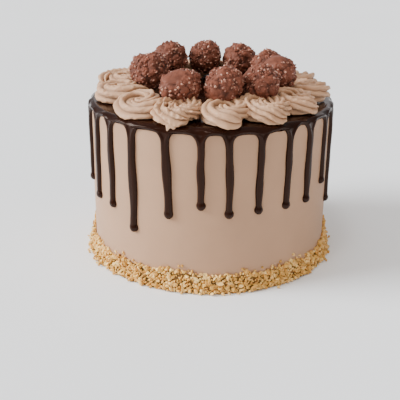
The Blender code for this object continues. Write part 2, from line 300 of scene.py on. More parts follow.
class Recipe:
    """A Principled material whose nodes are added by short calls."""

    def __init__(self, name, colour, roughness, **sockets):
        """Sets the uniform values. A socket is named with underscores in place of spaces."""
        self.material = bpy.data.materials.new(name)
        self.material.use_nodes = True
        self.tree = self.material.node_tree
        self.shader = self.tree.nodes["Principled BSDF"]
        self.shader.inputs["Base Color"].default_value = (*colour, 1)
        self.shader.inputs["Roughness"].default_value = roughness
        for socket, value in sockets.items():
            self.shader.inputs[socket.replace("_", " ")].default_value = value
        self.place = self.tree.nodes.new("ShaderNodeTexCoord").outputs["Object"]

    def link(self, output, target):
        """Joins an output to an input."""
        self.tree.links.new(output, target)

    def stretched(self, scale):
        """Object coordinates scaled differently along each axis."""
        node = self.tree.nodes.new("ShaderNodeMapping")
        node.inputs["Scale"].default_value = scale
        self.link(self.place, node.inputs["Vector"])
        return node.outputs["Vector"]

    def noise(self, scale, detail, place=None):
        """Noise of a scale in turns a metre, on Object coordinates unless a place is given."""
        node = self.tree.nodes.new("ShaderNodeTexNoise")
        node.inputs["Scale"].default_value = scale
        node.inputs["Detail"].default_value = detail
        self.link(place or self.place, node.inputs["Vector"])
        return node.outputs["Fac"]

    def attribute(self, name):
        """A number that is stored at the points of the mesh."""
        node = self.tree.nodes.new("ShaderNodeAttribute")
        node.attribute_name = name
        return node.outputs["Fac"]

    def spread(self, factor, low, high):
        """Maps a factor between low and high onto the whole range from 0 to 1."""
        node = self.tree.nodes.new("ShaderNodeMapRange")
        node.inputs["From Min"].default_value = low
        node.inputs["From Max"].default_value = high
        self.link(factor, node.inputs["Value"])
        return node.outputs["Result"]

    def colours(self, factor, stops):
        """Colours along a factor, as pairs of a place from 0 to 1 and a colour."""
        node = self.tree.nodes.new("ShaderNodeValToRGB")
        ramp = node.color_ramp
        while len(ramp.elements) < len(stops):
            ramp.elements.new(0.5)
        for element, (place, colour) in zip(ramp.elements, stops):
            element.position = place
            element.color = (*colour, 1)
        self.link(factor, node.inputs["Fac"])
        return node.outputs["Color"]

    def shades(self, factor, colour, stops):
        """Darker and lighter versions of one colour along a factor, as pairs of a place and a share."""
        return self.colours(factor, [(place, shade(colour, share)) for place, share in stops])

    def mix(self, factor, first, second):
        """Goes from a first colour output to a second, fixed colour."""
        node = self.tree.nodes.new("ShaderNodeMix")
        node.data_type = "RGBA"
        self.link(factor, node.inputs["Factor"])
        self.link(first, node.inputs["A"])
        node.inputs["B"].default_value = (*second, 1)
        return node.outputs["Result"]

    def set_colour(self, output):
        """Makes an output the base colour."""
        self.link(output, self.shader.inputs["Base Color"])

    def set_roughness(self, factor, low, high):
        """Lets the roughness go from low to high with a factor."""
        node = self.tree.nodes.new("ShaderNodeMapRange")
        node.inputs["To Min"].default_value = low
        node.inputs["To Max"].default_value = high
        self.link(factor, node.inputs["Value"])
        self.link(node.outputs["Result"], self.shader.inputs["Roughness"])

    def add_bump(self, height, depth, strength):
        """Adds relief of a depth in metres to what bump there is."""
        node = self.tree.nodes.new("ShaderNodeBump")
        node.inputs["Distance"].default_value = depth
        node.inputs["Strength"].default_value = strength
        self.link(height, node.inputs["Height"])
        normal = self.shader.inputs["Normal"]
        if normal.is_linked:
            self.link(normal.links[0].from_socket, node.inputs["Normal"])
        self.link(node.outputs["Normal"], normal)


def shade(colour, factor):
    """A lighter or darker version of a colour."""
    return tuple(channel * factor for channel in colour)


def coat_material(settings):
    """Scraped buttercream: satin, with faint level streaks left by the scraper and a fine crumb."""
    colour = tuple(settings.coat_colour)
    recipe = Recipe("scraped_buttercream", colour, roughness=0.52, Specular_IOR_Level=0.35,
                    Subsurface_Weight=0.12, **CREAM_SCATTER)
    recipe.set_colour(recipe.shades(recipe.noise(scale=35, detail=3), colour, ((0.3, 0.96), (0.7, 1.03))))
    streaks = recipe.noise(scale=1.0, detail=3, place=recipe.stretched((14, 14, 420)))
    recipe.add_bump(streaks, depth=0.12 * MM, strength=0.5)
    recipe.add_bump(recipe.noise(scale=1600, detail=2), depth=0.05 * MM, strength=0.35)
    return recipe.material


def piping_material(settings):
    """Piped buttercream: satin, with painted shade between its ridges and a painted highlight on them, and a
    soft grain.
    """
    colour = tuple(settings.piping_colour)
    recipe = Recipe("piped_buttercream", colour, roughness=0.48, Specular_IOR_Level=0.4,
                    Subsurface_Weight=0.15, **CREAM_SCATTER)
    # Painted shade in the hollows between the ridges and a painted highlight on their crests, from the ridge
    # share
    ridge = recipe.attribute("ridge")
    recipe.set_colour(recipe.shades(ridge, colour, ((0.0, 0.5), (0.5, 0.98), (1.0, 1.12))))
    recipe.add_bump(recipe.noise(scale=900, detail=3), depth=0.10 * MM, strength=0.5)
    recipe.add_bump(recipe.noise(scale=180, detail=2), depth=0.25 * MM, strength=0.4)
    return recipe.material


def glaze_material(settings):
    """Set chocolate glaze: nearly black brown and glossy, with a slow waviness that bends its highlights."""
    colour = tuple(settings.glaze_colour)
    recipe = Recipe("chocolate_glaze", colour, roughness=0.2, Specular_IOR_Level=0.2,
                    Specular_Tint=(1, 0.76, 0.62, 1))
    recipe.set_colour(recipe.shades(recipe.noise(scale=60, detail=2), colour, ((0.3, 0.85), (0.7, 1.2))))
    recipe.set_roughness(recipe.noise(scale=220, detail=2), low=0.12, high=0.26)
    recipe.add_bump(recipe.noise(scale=110, detail=1), depth=0.5 * MM, strength=0.3)
    return recipe.material


def ball_material(settings):
    """Milk chocolate over nuts: painted shade in its hollows and painted light on its crests, lighter
    patches at random, and a soft uneven sheen.
    """
    colour = tuple(settings.ball_colour)
    recipe = Recipe("crunchy_chocolate", colour, roughness=0.5, Specular_IOR_Level=0.3,
                    Specular_Tint=(1, 0.9, 0.88, 1))
    # Painted shade in the hollows and painted light on the crests, from the bump height share
    depth = recipe.shades(recipe.attribute("bump"), colour, ((0.0, 0.34), (0.4, 0.84), (1.0, 1.42)))
    patches = recipe.spread(recipe.noise(scale=260, detail=3), low=0.4, high=0.75)
    recipe.set_colour(recipe.mix(patches, depth, shade(colour, 1.2)))
    recipe.set_roughness(recipe.noise(scale=500, detail=2), low=0.42, high=0.68)
    recipe.add_bump(recipe.noise(scale=1100, detail=3), depth=0.22 * MM, strength=0.6)
    return recipe.material


def nut_material(name, colour, pale):
    """Chopped nut: each piece has its own tone, from golden to pale, and a fine crumb. The lowest tones are
    painted shadow, for the dark bank in the gaps between the pieces."""
    recipe = Recipe(name, colour, roughness=0.5, Specular_IOR_Level=0.4, Subsurface_Weight=0.1,
                    Subsurface_Scale=2.0 * MM)
    # The lowest stop is painted shadow, used by the bank in the gaps between the pieces
    stops = ((0.0, shade(colour, 0.25)), (0.1, shade(colour, 0.7)), (0.5, colour), (1.0, pale))
    recipe.set_colour(recipe.colours(recipe.attribute("shade"), stops))
    recipe.add_bump(recipe.noise(scale=2600, detail=2), depth=0.06 * MM, strength=0.5)
    return recipe.material


def floor_material():
    """Matt pale grey with very faint clouds."""
    recipe = Recipe("pale_floor", FLOOR_TONE, roughness=0.7, Specular_IOR_Level=0.2)
    recipe.set_colour(recipe.colours(recipe.noise(scale=2, detail=2), FLOOR_TONES))
    return recipe.material


# Buttercream coat


COAT_COLUMNS = 360
COAT_UNEVENNESS = 0.12 * MM
COAT_WAVELENGTH = 70.0 * MM
# Rows on the flat top, round the rim and down the side
COAT_ROWS = (10, 9, 60)
# Shares of the flat top's radius where its rows start and stop, measured in from its edge
TOP_SPAN = (-0.95, -0.05)
# Share of the side's height from the rim to its first row
SIDE_START = 0.02
# Height over which the unevenness fades in from the foot
FOOT_FADE = 10.0 * MM
SOLE_SHARES = (0.98, 0.5)


def build_coat(settings):
    """Coat turned about the axis. Rows follow the outline from the middle of the top round the rim and down
    the side to the underside, and each point is moved out by a slow ripple."""
    rim = settings.rim_rounding
    flat = settings.coat_radius - rim
    side = settings.coat_height - rim
    arc = rim * math.pi / 2
    down = np.concatenate((
        np.linspace(*TOP_SPAN, COAT_ROWS[0]) * flat,
        np.linspace(0, arc, COAT_ROWS[1]),
        arc + np.linspace(SIDE_START, 1, COAT_ROWS[2]) * side,
    ))[:, None]
    angle = np.arange(COAT_COLUMNS) / COAT_COLUMNS * math.tau
    points = coat_point(settings, angle, down, 0.0)
    lift = COAT_UNEVENNESS * ripple(points, COAT_WAVELENGTH, SEED)
    lift *= smooth_step(points[..., 2] / FOOT_FADE)
    points = coat_point(settings, angle, down, lift)
    sole = np.stack([points[-1] * (share, share, 0) for share in SOLE_SHARES])
    points = np.concatenate((points, sole))
    mesh = closed_tube(points, (0, 0, settings.coat_height), (0, 0, 0))
    piece = new_piece("buttercream_coat", *mesh)
    finish_piece(piece, coat_material(settings), "buttercream_coat", "cake")


# Chocolate glaze


STRIP_COLUMNS = 14
# Rows of a drip down its scallops, its run, the swell into its drop and the drop's round end
ARCH_ROWS, RUN_ROWS, SWELL_ROWS, END_ROWS = 18, 25, 8, 8
# Angle in degrees where the rows of a quarter circle stop short of its level end
ROUND_END = 84
# Rows of the glaze on the flat top, and shares of its radius where they start and stop
TOP_ROWS = 12
TOP_SHARES = (0.94, 0.06)
# Rows of each half of the band from the flat top to the scallops, and the share where the halves meet
FALL_ROWS = 8
FALL_MIDDLE = 0.62
SCALLOP_LEVEL = 3.4 * MM
SCALLOP_STRAY = 0.8 * MM
SCALLOP_GAP = 0.5 * MM
TIGHT_CORNER = (4.5 * MM, 6.5 * MM)
TIGHT_DEPTH = (6.0 * MM, 8.5 * MM)
SOFT_CORNER = (5.0 * MM, 8.5 * MM)
SOFT_DEPTH = (8.5 * MM, 13.5 * MM)
SOFT_LEFT_DRIPS = 7
SOFT_LEFT_CHANCE = 0.5
DRIP_STRAY = (0.92, 1.08)
DROP_STRAY = (0.96, 1.08)
# Width of a drip under its scallops, what it gains further down and what it loses above the drop, as shares
HEAD_WIDTH, RUN_GAIN, NECK_LOSS = 0.94, 0.07, 0.13
# Place along the run where the loss sets in
NECK_START = 0.55
# Unevenness of a drip's two edges: share of its width, and waves along its run in radians
EDGE_WAVE = 0.09
EDGE_PACE = (6, 11)
# How soon the gain and the unevenness reach their full size along the run
GAIN_SPEED, WAVE_SPEED = 2.5, 5
SWAY = 0.35 * MM
SWAY_LENGTH = 16.0 * MM
EDGE_ROUNDING = 2.4 * MM
BEAD_HEIGHT = 1.1 * MM
BEAD_PLACE = 1.7 * MM
BEAD_WIDTH = 1.25 * MM
DROP_NECK = 7.6 * MM
DROP_STRETCH = 1.15
DRIP_SWELL = 1.4 * MM
DROP_SWELL = 2.2 * MM
# Way down from the scallops over which a drip gets its own height
DRIP_START = 14.0 * MM
TIP_POINT = 0.1 * MM
# Square of a length that counts as none
NO_LENGTH = 1e-18
# Distance from a free edge on the flat top, where every rounding and bead has ended
FAR_AWAY = 1.0
GLAZE_UNEVENNESS = 0.18 * MM
GLAZE_WAVELENGTH = 26.0 * MM
GLAZE_PRESSED = 0.05 * MM
GLAZE_SUNK = 0.4 * MM


def drip_places():
    """Angle at the rim, angle at the tip, height of the tip and width share of each drip, in order."""
    rng = random.Random(SEED + 1)
    first, last = FRONT_DRIPS[0][0] + 360, FRONT_DRIPS[-1][0]
    step = (first - last) / (BACK_DRIPS + 1)
    back = []
    for index in range(1, BACK_DRIPS + 1):
        angle = last + index * step + rng.uniform(-BACK_DRIP_STRAY, BACK_DRIP_STRAY)
        back.append((angle, angle, rng.uniform(*BACK_DRIP_TIPS), 1.0))
    places = np.array(list(FRONT_DRIPS) + back)
    places[:, :2] = np.radians(places[:, :2])
    return places


def distance_to_path(points, path):
    """Shortest distance from each point of the plane to a chain of straight runs."""
    start, run = path[:-1], np.diff(path, axis=0)
    apart = points[:, None] - start
    share = np.clip((apart * run).sum(-1) / np.maximum((run**2).sum(-1), NO_LENGTH), 0, 1)
    return np.linalg.norm(apart - share[..., None] * run, axis=-1).min(axis=1)


def crowded_shares():
    """Places across a strip from -1 to 1 that stand closer together near its edges."""
    return np.sin(math.pi / 2 * np.linspace(-1, 1, STRIP_COLUMNS + 1))


def drip_strip(settings, crown, tip, half_left, half_right, lean, wide, soft_left, rng):
    """Grid of one drip in the unrolled side, from just under the crown of its scallops to its tip, as
    (across, down) pairs. Each row is level. A quarter ellipse on each side narrows it from the scallops to
    the drip, one side over a short way and the other over a long one. Then it runs down with a slow
    unevenness, swells into the drop and ends in a half circle."""
    drip, drop = settings.drip_width / 2, settings.drop_width / 2
    drip *= wide * rng.uniform(*DRIP_STRAY)
    drop *= (1 + wide) / 2 * rng.uniform(*DROP_STRAY)
    across = np.array((rng.uniform(*SOFT_CORNER), rng.uniform(*TIGHT_CORNER)))
    deep = np.array((rng.uniform(*SOFT_DEPTH), rng.uniform(*TIGHT_DEPTH)))
    order = slice(None) if soft_left else slice(None, None, -1)
    across = np.minimum(across[order], np.array((half_left, half_right)) - drip - SCALLOP_GAP)
    deep = deep[order]

    turn = np.radians(np.linspace(ROUND_END, 0, ARCH_ROWS))[:, None]
    arch_down = crown + deep.max() * (1 - np.sin(turn))
    rise = np.clip(1 - (arch_down - crown) / deep, 0, 1)
    arch_half = drip * HEAD_WIDTH + across * (1 - np.sqrt(1 - rise**2))

    top = crown + deep.max()
    neck = tip - DROP_NECK
    run = np.linspace(0, 1, RUN_ROWS + 1)[1:, None]
    run_down = top + (neck - top) * run
    phase = rng.uniform(0, math.tau, 2)
    pace = rng.uniform(*EDGE_PACE, 2)
    slim = HEAD_WIDTH + RUN_GAIN * smooth_step(run * GAIN_SPEED)
    slim = slim - NECK_LOSS * smooth_step((run - NECK_START) / (1 - NECK_START))
    slim = slim + np.sin(run * pace + phase) * EDGE_WAVE * smooth_step(run * WAVE_SPEED)
    run_half = drip * slim

    swell = np.linspace(0, 1, SWELL_ROWS + 1)[1:, None]
    swell_down = neck + (tip - drop * DROP_STRETCH - neck) * swell
    swell_half = run_half[-1] + (drop - run_half[-1]) * smooth_step(swell)
    turn = np.radians(np.linspace(0, ROUND_END, END_ROWS + 1))[1:, None]
    end_down = tip - drop * DROP_STRETCH * (1 - np.sin(turn))
    end_half = drop * np.cos(turn) * np.ones((1, 2))

    down = np.concatenate((arch_down, run_down, swell_down, end_down))
    half = np.concatenate((arch_half, run_half, swell_half, end_half))
    share = crowded_shares()
    reach = np.where(share < 0, half[:, :1], half[:, 1:]) * share
    slope = smooth_step((down - crown) / (tip - crown))
    sway = SWAY * np.sin((down - crown) / SWAY_LENGTH + phase[1]) * slope * (1 - slope) * 4
    return np.stack(np.broadcast_arrays(lean * slope + sway + reach, down), axis=-1)


def bead(away):
    """Extra height near a free edge, where glaze has gathered: a bell over the distance from the edge."""
    return BEAD_HEIGHT * np.exp(-(((away - BEAD_PLACE) / BEAD_WIDTH) ** 2)) * smooth_step(away / BEAD_PLACE)


def build_glaze(settings):
    """Sheet over the top and down the side. The band from the middle to the scallops is one grid, and each
    drip hangs from it as a grid of its own. A point stands off the coat by a rounded share of the glaze's
    thickness, which grows with its distance from the free edge, and a second sheet sunk in the coat closes
    the shape."""
    rng = np.random.default_rng(SEED + 2)
    places = drip_places()
    count, columns = len(places), STRIP_COLUMNS
    side_radius = settings.coat_radius
    arc = settings.rim_rounding * math.pi / 2
    flat = settings.coat_radius - settings.rim_rounding
    base = settings.coat_height - settings.rim_rounding
    gap = (np.roll(places[:, 0], -1) - places[:, 0]) % math.tau / 2 * side_radius
    gap_left = np.roll(gap, 1)

    level = arc + SCALLOP_LEVEL - settings.rim_rounding
    crowns = level + rng.uniform(-1, 1, count) * SCALLOP_STRAY
    share = crowded_shares()
    strips, band_across, band_crown = [], [], []
    for index, (rim_angle, tip_angle, tip_height, wide) in enumerate(places):
        before, after = crowns[index - 1], crowns[index]
        middle = (before + after) / 2
        lean = (tip_angle - rim_angle) * side_radius
        tip = arc + base - tip_height
        soft_left = index < SOFT_LEFT_DRIPS or rng.uniform() < SOFT_LEFT_CHANCE
        halves = gap_left[index], gap[index]
        strips.append(drip_strip(settings, middle, tip, *halves, lean, wide, soft_left, rng))
        reach = np.where(share < 0, gap_left[index], gap[index]) * share
        band_across.append(rim_angle + reach[:-1] / side_radius)
        blend = smooth_step(np.abs(share))
        crown = middle + (np.where(share < 0, before, after) - middle) * blend
        band_crown.append(crown[:-1])
    band_angle = np.concatenate(band_across)
    crown = np.concatenate(band_crown)

    rows = np.concatenate((-np.linspace(*TOP_SHARES, TOP_ROWS) * flat, np.zeros(1)))
    fall = np.concatenate((
        np.linspace(0, FALL_MIDDLE, FALL_ROWS + 1)[1:],
        np.linspace(FALL_MIDDLE, 1, FALL_ROWS + 1)[1:],
    ))
    band_down = np.concatenate((
        np.broadcast_to(rows[:, None], (len(rows), len(crown))),
        fall[:, None] * crown,
    ))
    band_flat = np.stack(np.broadcast_arrays(band_angle * side_radius, band_down), axis=-1)

    def arch_path(index):
        """Free edge from the tip of the drip before, over the scallop, to the tip of this drip."""
        left, right = strips[index - 1], strips[index]
        before = left[:, -1] + (places[index - 1, 0] * side_radius, 0)
        after = right[:, 0] + (places[index, 0] * side_radius, 0)
        if index == 0:
            before = before - (math.tau * side_radius, 0)
        crest = places[index, 0] * side_radius - gap_left[index], crowns[index - 1]
        tip_before = before[-1] + ((left[-1, 0, 0] - left[-1, -1, 0]) / 2, TIP_POINT)
        tip_after = after[-1] + ((right[-1, -1, 0] - right[-1, 0, 0]) / 2, TIP_POINT)
        return np.concatenate(([tip_before], before[::-1], [crest], after, [tip_after]))

    def edge_distance(index, points):
        """Distance of points near one drip from the free edges on both sides of it."""
        here = distance_to_path(points, arch_path(index))
        beyond = (index + 1) % count
        path = arch_path(beyond)
        if beyond == 0:
            path = path + (math.tau * side_radius, 0)
        return np.minimum(here, distance_to_path(points, path))

    band_away = np.full(band_down.shape, FAR_AWAY)
    body = settings.glaze_thickness - BEAD_HEIGHT
    drop_radius = settings.drop_width / 2
    near = slice(len(rows), None)
    drip_points, drip_off = [], []
    for index in range(count):
        own = slice(index * columns, (index + 1) * columns)
        points = band_flat[near, own].reshape(-1, 2)
        band_away[near, own] = edge_distance(index, points).reshape(-1, columns)
        strip = strips[index] + (places[index, 0] * side_radius, 0)
        tip_point = strip[-1, :, 0].mean(), strip[-1, 0, 1] + TIP_POINT
        flat_points = np.concatenate((strip.reshape(-1, 2), [tip_point]))
        down = flat_points[:, 1]
        swell = smooth_step((down - (down[-1] - DROP_NECK)) / (DROP_NECK - drop_radius))
        rounding = EDGE_ROUNDING + (drop_radius - EDGE_ROUNDING) * swell
        away = edge_distance(index, flat_points)
        start = smooth_step((down - crown.mean()) / DRIP_START)
        thick = body + DRIP_SWELL * start + (DROP_SWELL - DRIP_SWELL) * swell
        drip_points.append(flat_points)
        drip_off.append(round_share(away / rounding) * thick + bead(away) * (1 - start))

    band_off = round_share(band_away / EDGE_ROUNDING) * body + bead(band_away)
    across, down = np.concatenate([band_flat.reshape(-1, 2)] + drip_points).T
    off = np.concatenate([band_off.ravel()] + drip_off)
    angle = across / side_radius
    wave = ripple(coat_point(settings, angle, down, 0.0), GLAZE_WAVELENGTH, SEED + 3)
    wave = wave * GLAZE_UNEVENNESS * smooth_step(off / settings.glaze_thickness)
    outer = coat_point(settings, angle, down, off + wave - GLAZE_PRESSED)
    inner = coat_point(settings, angle, down, -GLAZE_SUNK)
    outer = np.concatenate((outer, [(0, 0, settings.coat_height + settings.glaze_thickness)]))
    inner = np.concatenate((inner, [(0, 0, settings.coat_height - GLAZE_SUNK)]))
    quads, fans = glaze_faces(band_down.shape, [len(strip) for strip in strips], len(outer) - 1)
    piece = new_piece("drip_glaze", *two_sided(outer, inner, quads, fans))
    finish_piece(piece, glaze_material(settings), "chocolate_glaze", "glaze")


def glaze_faces(band_shape, strip_rows, centre):
    """Faces of the outer sheet: a fan round the middle of the top, the band's grid, and for each drip its
    grid, the faces that hang it from the band's last row, and a fan at its tip."""
    band_rows, band_columns = band_shape
    columns = STRIP_COLUMNS
    across = np.arange(band_columns)
    quads = [grid_quads(band_rows, band_columns)]
    fans = [np.stack((np.full(band_columns, centre), across, (across + 1) % band_columns), axis=-1)]
    hem = (band_rows - 1) * band_columns
    offset = band_rows * band_columns
    own = np.arange(columns)
    for index, rows in enumerate(strip_rows):
        quads.append(grid_quads(rows, columns + 1, wrap_columns=False) + offset)
        above = hem + (index * columns + own) % band_columns
        above_next = hem + (index * columns + own + 1) % band_columns
        quads.append(np.stack((above, offset + own, offset + own + 1, above_next), axis=-1))
        last = offset + (rows - 1) * (columns + 1)
        tip = offset + rows * (columns + 1)
        fans.append(np.stack((np.full(columns, tip), last + own + 1, last + own), axis=-1))
        offset = tip + 1
    return np.concatenate(quads), np.concatenate(fans)


def two_sided(outer, inner, quads, fans):
    """Closed shape between two sheets with the same faces: the inner faces are turned round, and each free
    edge of the outer sheet is joined to the inner one by a face."""
    around_quads = [quads[:, (corner, (corner + 1) % 4)] for corner in range(4)]
    around_fans = [fans[:, (corner, (corner + 1) % 3)] for corner in range(3)]
    edges = np.concatenate(around_quads + around_fans)
    size = len(outer)
    codes = edges[:, 0] * size + edges[:, 1]
    reverse = edges[:, 1] * size + edges[:, 0]
    free = edges[~np.isin(codes, reverse)]
    wall = np.stack((free[:, 1], free[:, 0], free[:, 0] + size, free[:, 1] + size), axis=-1)
    all_quads = np.concatenate((quads, quads[:, ::-1] + size, wall))
    all_fans = np.concatenate((fans, fans[:, ::-1] + size))
    return np.concatenate((outer, inner)), all_quads, all_fans


# Piped rosettes


ROPE_STEPS = 240
ROPE_COLUMNS = 84
COIL_TURNS = 1.4
TURNS_STRAY = (0.94, 1.08)
COIL_RADIUS = 15.8 * MM
COIL_STRAY = (0.97, 1.04)
# Power by which the coil closes in, and shares by which it is wider inward and by which it is oval
COIL_CLOSING = 0.48
COIL_INWARD = 0.07
COIL_OVAL = 0.05
# Length of a tail in millimetres, and the part of the rope over which it fades
TAIL_LENGTH = (2, 3.5)
TAIL_FADE = 0.06
# Extra length of a tail, by the place of a rosette in the table
LONG_TAILS = {10: 6.0 * MM, 11: 1.5 * MM}
ROPE_STRAY = (0.95, 1.05)
# Height of the rope's middle over the glaze in rope radii, and its rise to the peak: height, start and span
ROPE_BED = 0.62
PEAK_RISE, PEAK_START, PEAK_SPAN = 3.0 * MM, 0.45, 0.5
# Share of its steepness by which the section leans with the path
SECTION_LEAN = 0.5
# Share of its radius that the rope loses towards its peak, and where that starts
ROPE_TAPER, TAPER_START = 0.42, 0.3
RIDGE_DEPTH = 0.42
RIDGE_POWER = 0.75
# Part of the rope over which it opens at its tail, and how much later the hollows between ridges open
TAIL_OPENING, HOLLOW_DELAY = 0.075, 0.025
# Part of the rope over which it closes at its peak, the power of that, and a trace that keeps it open
PEAK_CLOSING, PEAK_POWER, PEAK_TRACE = 0.07, 0.75, 1.0005
ROPE_FLATNESS = 0.94
# Unevenness along the crests of the ridges, by the place of a rosette in the table, and of all others
TORN_CREST = {12: 2.0 * MM, 1: 1.0 * MM}
TORN_USUAL = 0.5 * MM
TORN_LENGTH = 4.5 * MM
# Depth and wavelength of the unevenness of all cream
CREAM_UNEVENNESS = ((0.4 * MM, 12 * MM), (0.14 * MM, 3.5 * MM))
SAG_ROUNDING = 7.0 * MM
CREAM_GAP = 0.25 * MM
BALL_GAP = 0.6 * MM
# A level below everything, for cream that hangs past the rim
NO_FLOOR = -1.0
# Ridge share of the two end points, which sets their painted shade in the piping
END_RIDGE = 0.5


def ball_places():
    """Centre of each ball, from the middle of the box of its node."""
    boxes = [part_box(f"ball_{index + 1}") for index in range(BALL_COUNT)]
    return np.array([(low + high) / 2 for low, high in boxes])


def glaze_height(settings, radius):
    """Height of the glaze's outside at a distance from the axis: flat, and then round the rim."""
    rim = settings.rim_rounding
    bend = rim + settings.glaze_thickness
    past = np.clip(radius - (settings.coat_radius - rim), 0, bend)
    return settings.coat_height - rim + np.sqrt(bend**2 - past**2)


def rosette_points(settings, index, balls):
    """A ridged rope laid in a spiral. The path runs from the tail at the outside to the peak in the middle.
    Its section is a circle whose radius dips between the ridges, and the ridges roll round it on the way.
    Cream that would enter the glaze or a ball is moved to its surface, and what passes the rim sags."""
    rng = np.random.default_rng(SEED * 100 + index)
    place = np.linspace(0, 1, ROPE_STEPS)[:, None]
    around = np.arange(ROPE_COLUMNS) / ROPE_COLUMNS * math.tau
    angle, shift, tail, roll_turns, ridges, coil_share, rope_share, tilt = ROSETTES[index]
    turns = COIL_TURNS * rng.uniform(*TURNS_STRAY)
    turn = math.radians(tail) - math.tau * turns * place
    coil = COIL_RADIUS * coil_share * rng.uniform(*COIL_STRAY)
    reach = coil * (1 - place) ** COIL_CLOSING * (1 + COIL_INWARD * (1 - np.cos(turn)))
    tail_length = rng.uniform(*TAIL_LENGTH) * MM + LONG_TAILS.get(index, 0)
    reach = reach + tail_length * np.exp(-place / TAIL_FADE)
    reach = reach * (1 + COIL_OVAL * np.sin(turn * 2 + rng.uniform(0, math.tau)))
    rope = settings.rope_radius * rope_share * rng.uniform(*ROPE_STRAY)
    peak = PEAK_RISE * smooth_step((place - PEAK_START) / PEAK_SPAN)
    rise = ROPE_BED * rope + peak - tilt * reach * np.cos(turn)
    path = np.concatenate((reach * np.cos(turn), reach * np.sin(turn), rise), axis=-1)

    along = np.gradient(path, axis=0)
    along[:, 2] *= SECTION_LEAN
    along = unit(along)
    sideways = unit(np.cross(along, (0, 0, 1)))
    upright = np.cross(sideways, along)
    half = rope * (1 - ROPE_TAPER * smooth_step((place - TAPER_START) / (1 - TAPER_START)))
    roll = rng.uniform(0, math.tau) - math.tau * roll_turns * place
    ridge = np.abs(np.cos(ridges / 2 * (around - roll))) ** RIDGE_POWER
    half = half * round_share((place - HOLLOW_DELAY * (1 - ridge)) / TAIL_OPENING)
    half = half * np.minimum(1, (PEAK_TRACE - place) / PEAK_CLOSING) ** PEAK_POWER
    section = half * (1 - RIDGE_DEPTH * (1 - ridge))
    points = path[:, None] + sideways[:, None] * (section * np.cos(around))[..., None]
    points = points + upright[:, None] * (section * np.sin(around) * ROPE_FLATNESS)[..., None]
    outward = (points - path[:, None]) / settings.rope_radius
    torn = TORN_CREST.get(index, TORN_USUAL) * ridge**3 * ripple(points, TORN_LENGTH, SEED * 11 + index)
    points = points + outward * torn[..., None]

    angle = math.radians(angle)
    cos, sin = math.cos(angle), math.sin(angle)
    ring = settings.rosette_ring + shift * MM
    points = points @ np.array([[cos, sin, 0], [-sin, cos, 0], [0, 0, 1]])
    points += (ring * cos, ring * sin, 0)
    points[..., 2] += settings.coat_height + settings.glaze_thickness
    for depth, wavelength in CREAM_UNEVENNESS:
        points += depth * ripples(points, wavelength, SEED * 7 + index * 3)
    return settle(settings, points, balls), ridge


def settle(settings, points, balls):
    """Moves cream out of the glaze and the balls, and lets it sag past the rim."""
    radius = np.hypot(points[..., 0], points[..., 1])
    rim = settings.coat_radius - settings.rim_rounding
    sag = np.maximum(radius - rim, 0) ** 2 / (2 * SAG_ROUNDING)
    points[..., 2] -= sag
    edge = rim + settings.rim_rounding + settings.glaze_thickness
    floor = np.where(radius < edge, glaze_height(settings, radius) - CREAM_GAP, NO_FLOOR)
    points[..., 2] = np.maximum(points[..., 2], floor)
    seat = settings.ball_radius + BALL_GAP
    for centre in balls:
        apart = points - centre
        distance = np.linalg.norm(apart, axis=-1, keepdims=True)
        points = np.where(distance < seat, centre + apart / distance * seat, points)
    return points


def build_rosettes(settings):
    """Thirteen ropes, each closed by a fan to a point at its tail and at its peak."""
    material = piping_material(settings)
    balls = ball_places()
    for index in range(len(ROSETTES)):
        points, ridge = rosette_points(settings, index, balls)
        ends = points[0].mean(axis=0), points[-1].mean(axis=0)
        piece = new_piece(f"piped_rosette_{index + 1:02d}", *closed_tube(points, *ends))
        # Ridge share, from which the material paints shade in the hollows and a highlight on the crests
        store(piece, "ridge", np.append(ridge.ravel(), (END_RIDGE, END_RIDGE)))
        finish_piece(piece, material, "piped_buttercream", f"rosette_{index + 1:02d}")


# Crunchy balls


BALL_ROWS = 92
BALL_COLUMNS = 184
# Count, smallest and largest radius, and smallest and largest height of the bumps of a ball
LARGE_BUMPS = (64, 2.4 * MM, 4.6 * MM, 0.7 * MM, 1.9 * MM)
SMALL_BUMPS = (170, 0.9 * MM, 1.9 * MM, 0.25 * MM, 0.8 * MM)
BUMP_STRAY = 0.12
BUMP_LIMIT = 2.4 * MM
# Share by which the bumps are pushed about, and wavelength of that on a ball with a radius of 1
WARP, WARP_LENGTH = 0.07, 0.5
# Calm places on a ball: how smooth they are, wavelength, and gain and threshold of the ripple they follow
CALM, CALM_LENGTH, CALM_GAIN, CALM_EDGE = 0.6, 2.2, 1.2, 0.3
# Balls with one smooth side: its direction, and how smooth it is, where it starts and how soon it is full
SMOOTH_SIDES = {0: (-0.45, -0.40, 0.80), 3: (-0.3, 0.0, 0.95)}
SMOOTH, SMOOTH_EDGE, SMOOTH_BLEND = 0.85, 0.66, 0.16
# Share of the bumps that a calm place loses, and height of the chocolate there
CALM_LOSS = 0.85
CALM_HEIGHT = 0.9 * MM
SLOW_LUMP, SLOW_LENGTH = 0.3 * MM, 1.6
LUMPS = 3
LUMP_HEIGHT = (0.5 * MM, 1.3 * MM)
LUMP_STRAY = 0.6
# Where a lump and a bulge start and how soon they are full, as the cosine of the angle from their middle
LUMP_EDGE, LUMP_BLEND = 0.6, 0.4
BULGE_EDGE, BULGE_BLEND = 0.35, 0.6
# Ball, direction and height of each side that stands out, or is flattened where the height is negative
BULGES = (
    (0, (-0.93, -0.25, -0.27), 2.8 * MM),
    (0, (0.0, 0.0, 1.0), -1.7 * MM),
    (1, (-0.45, -0.6, -0.66), 2.2 * MM),
    (2, (0.05, -0.75, -0.66), 2.4 * MM),
    (3, (0.1, 0.0, 1.0), 1.3 * MM),
    (4, (0.0, 0.0, 1.0), -1.4 * MM),
    (5, (0.0, 0.0, 1.0), -1.3 * MM),
    (7, (0.05, 0.0, 1.0), 0.3 * MM),
    (8, (0.88, -0.25, 0.4), 3.2 * MM),
    (8, (0.1, -0.75, -0.65), 2.8 * MM),
)
BALL_SKIN = 0.5 * MM
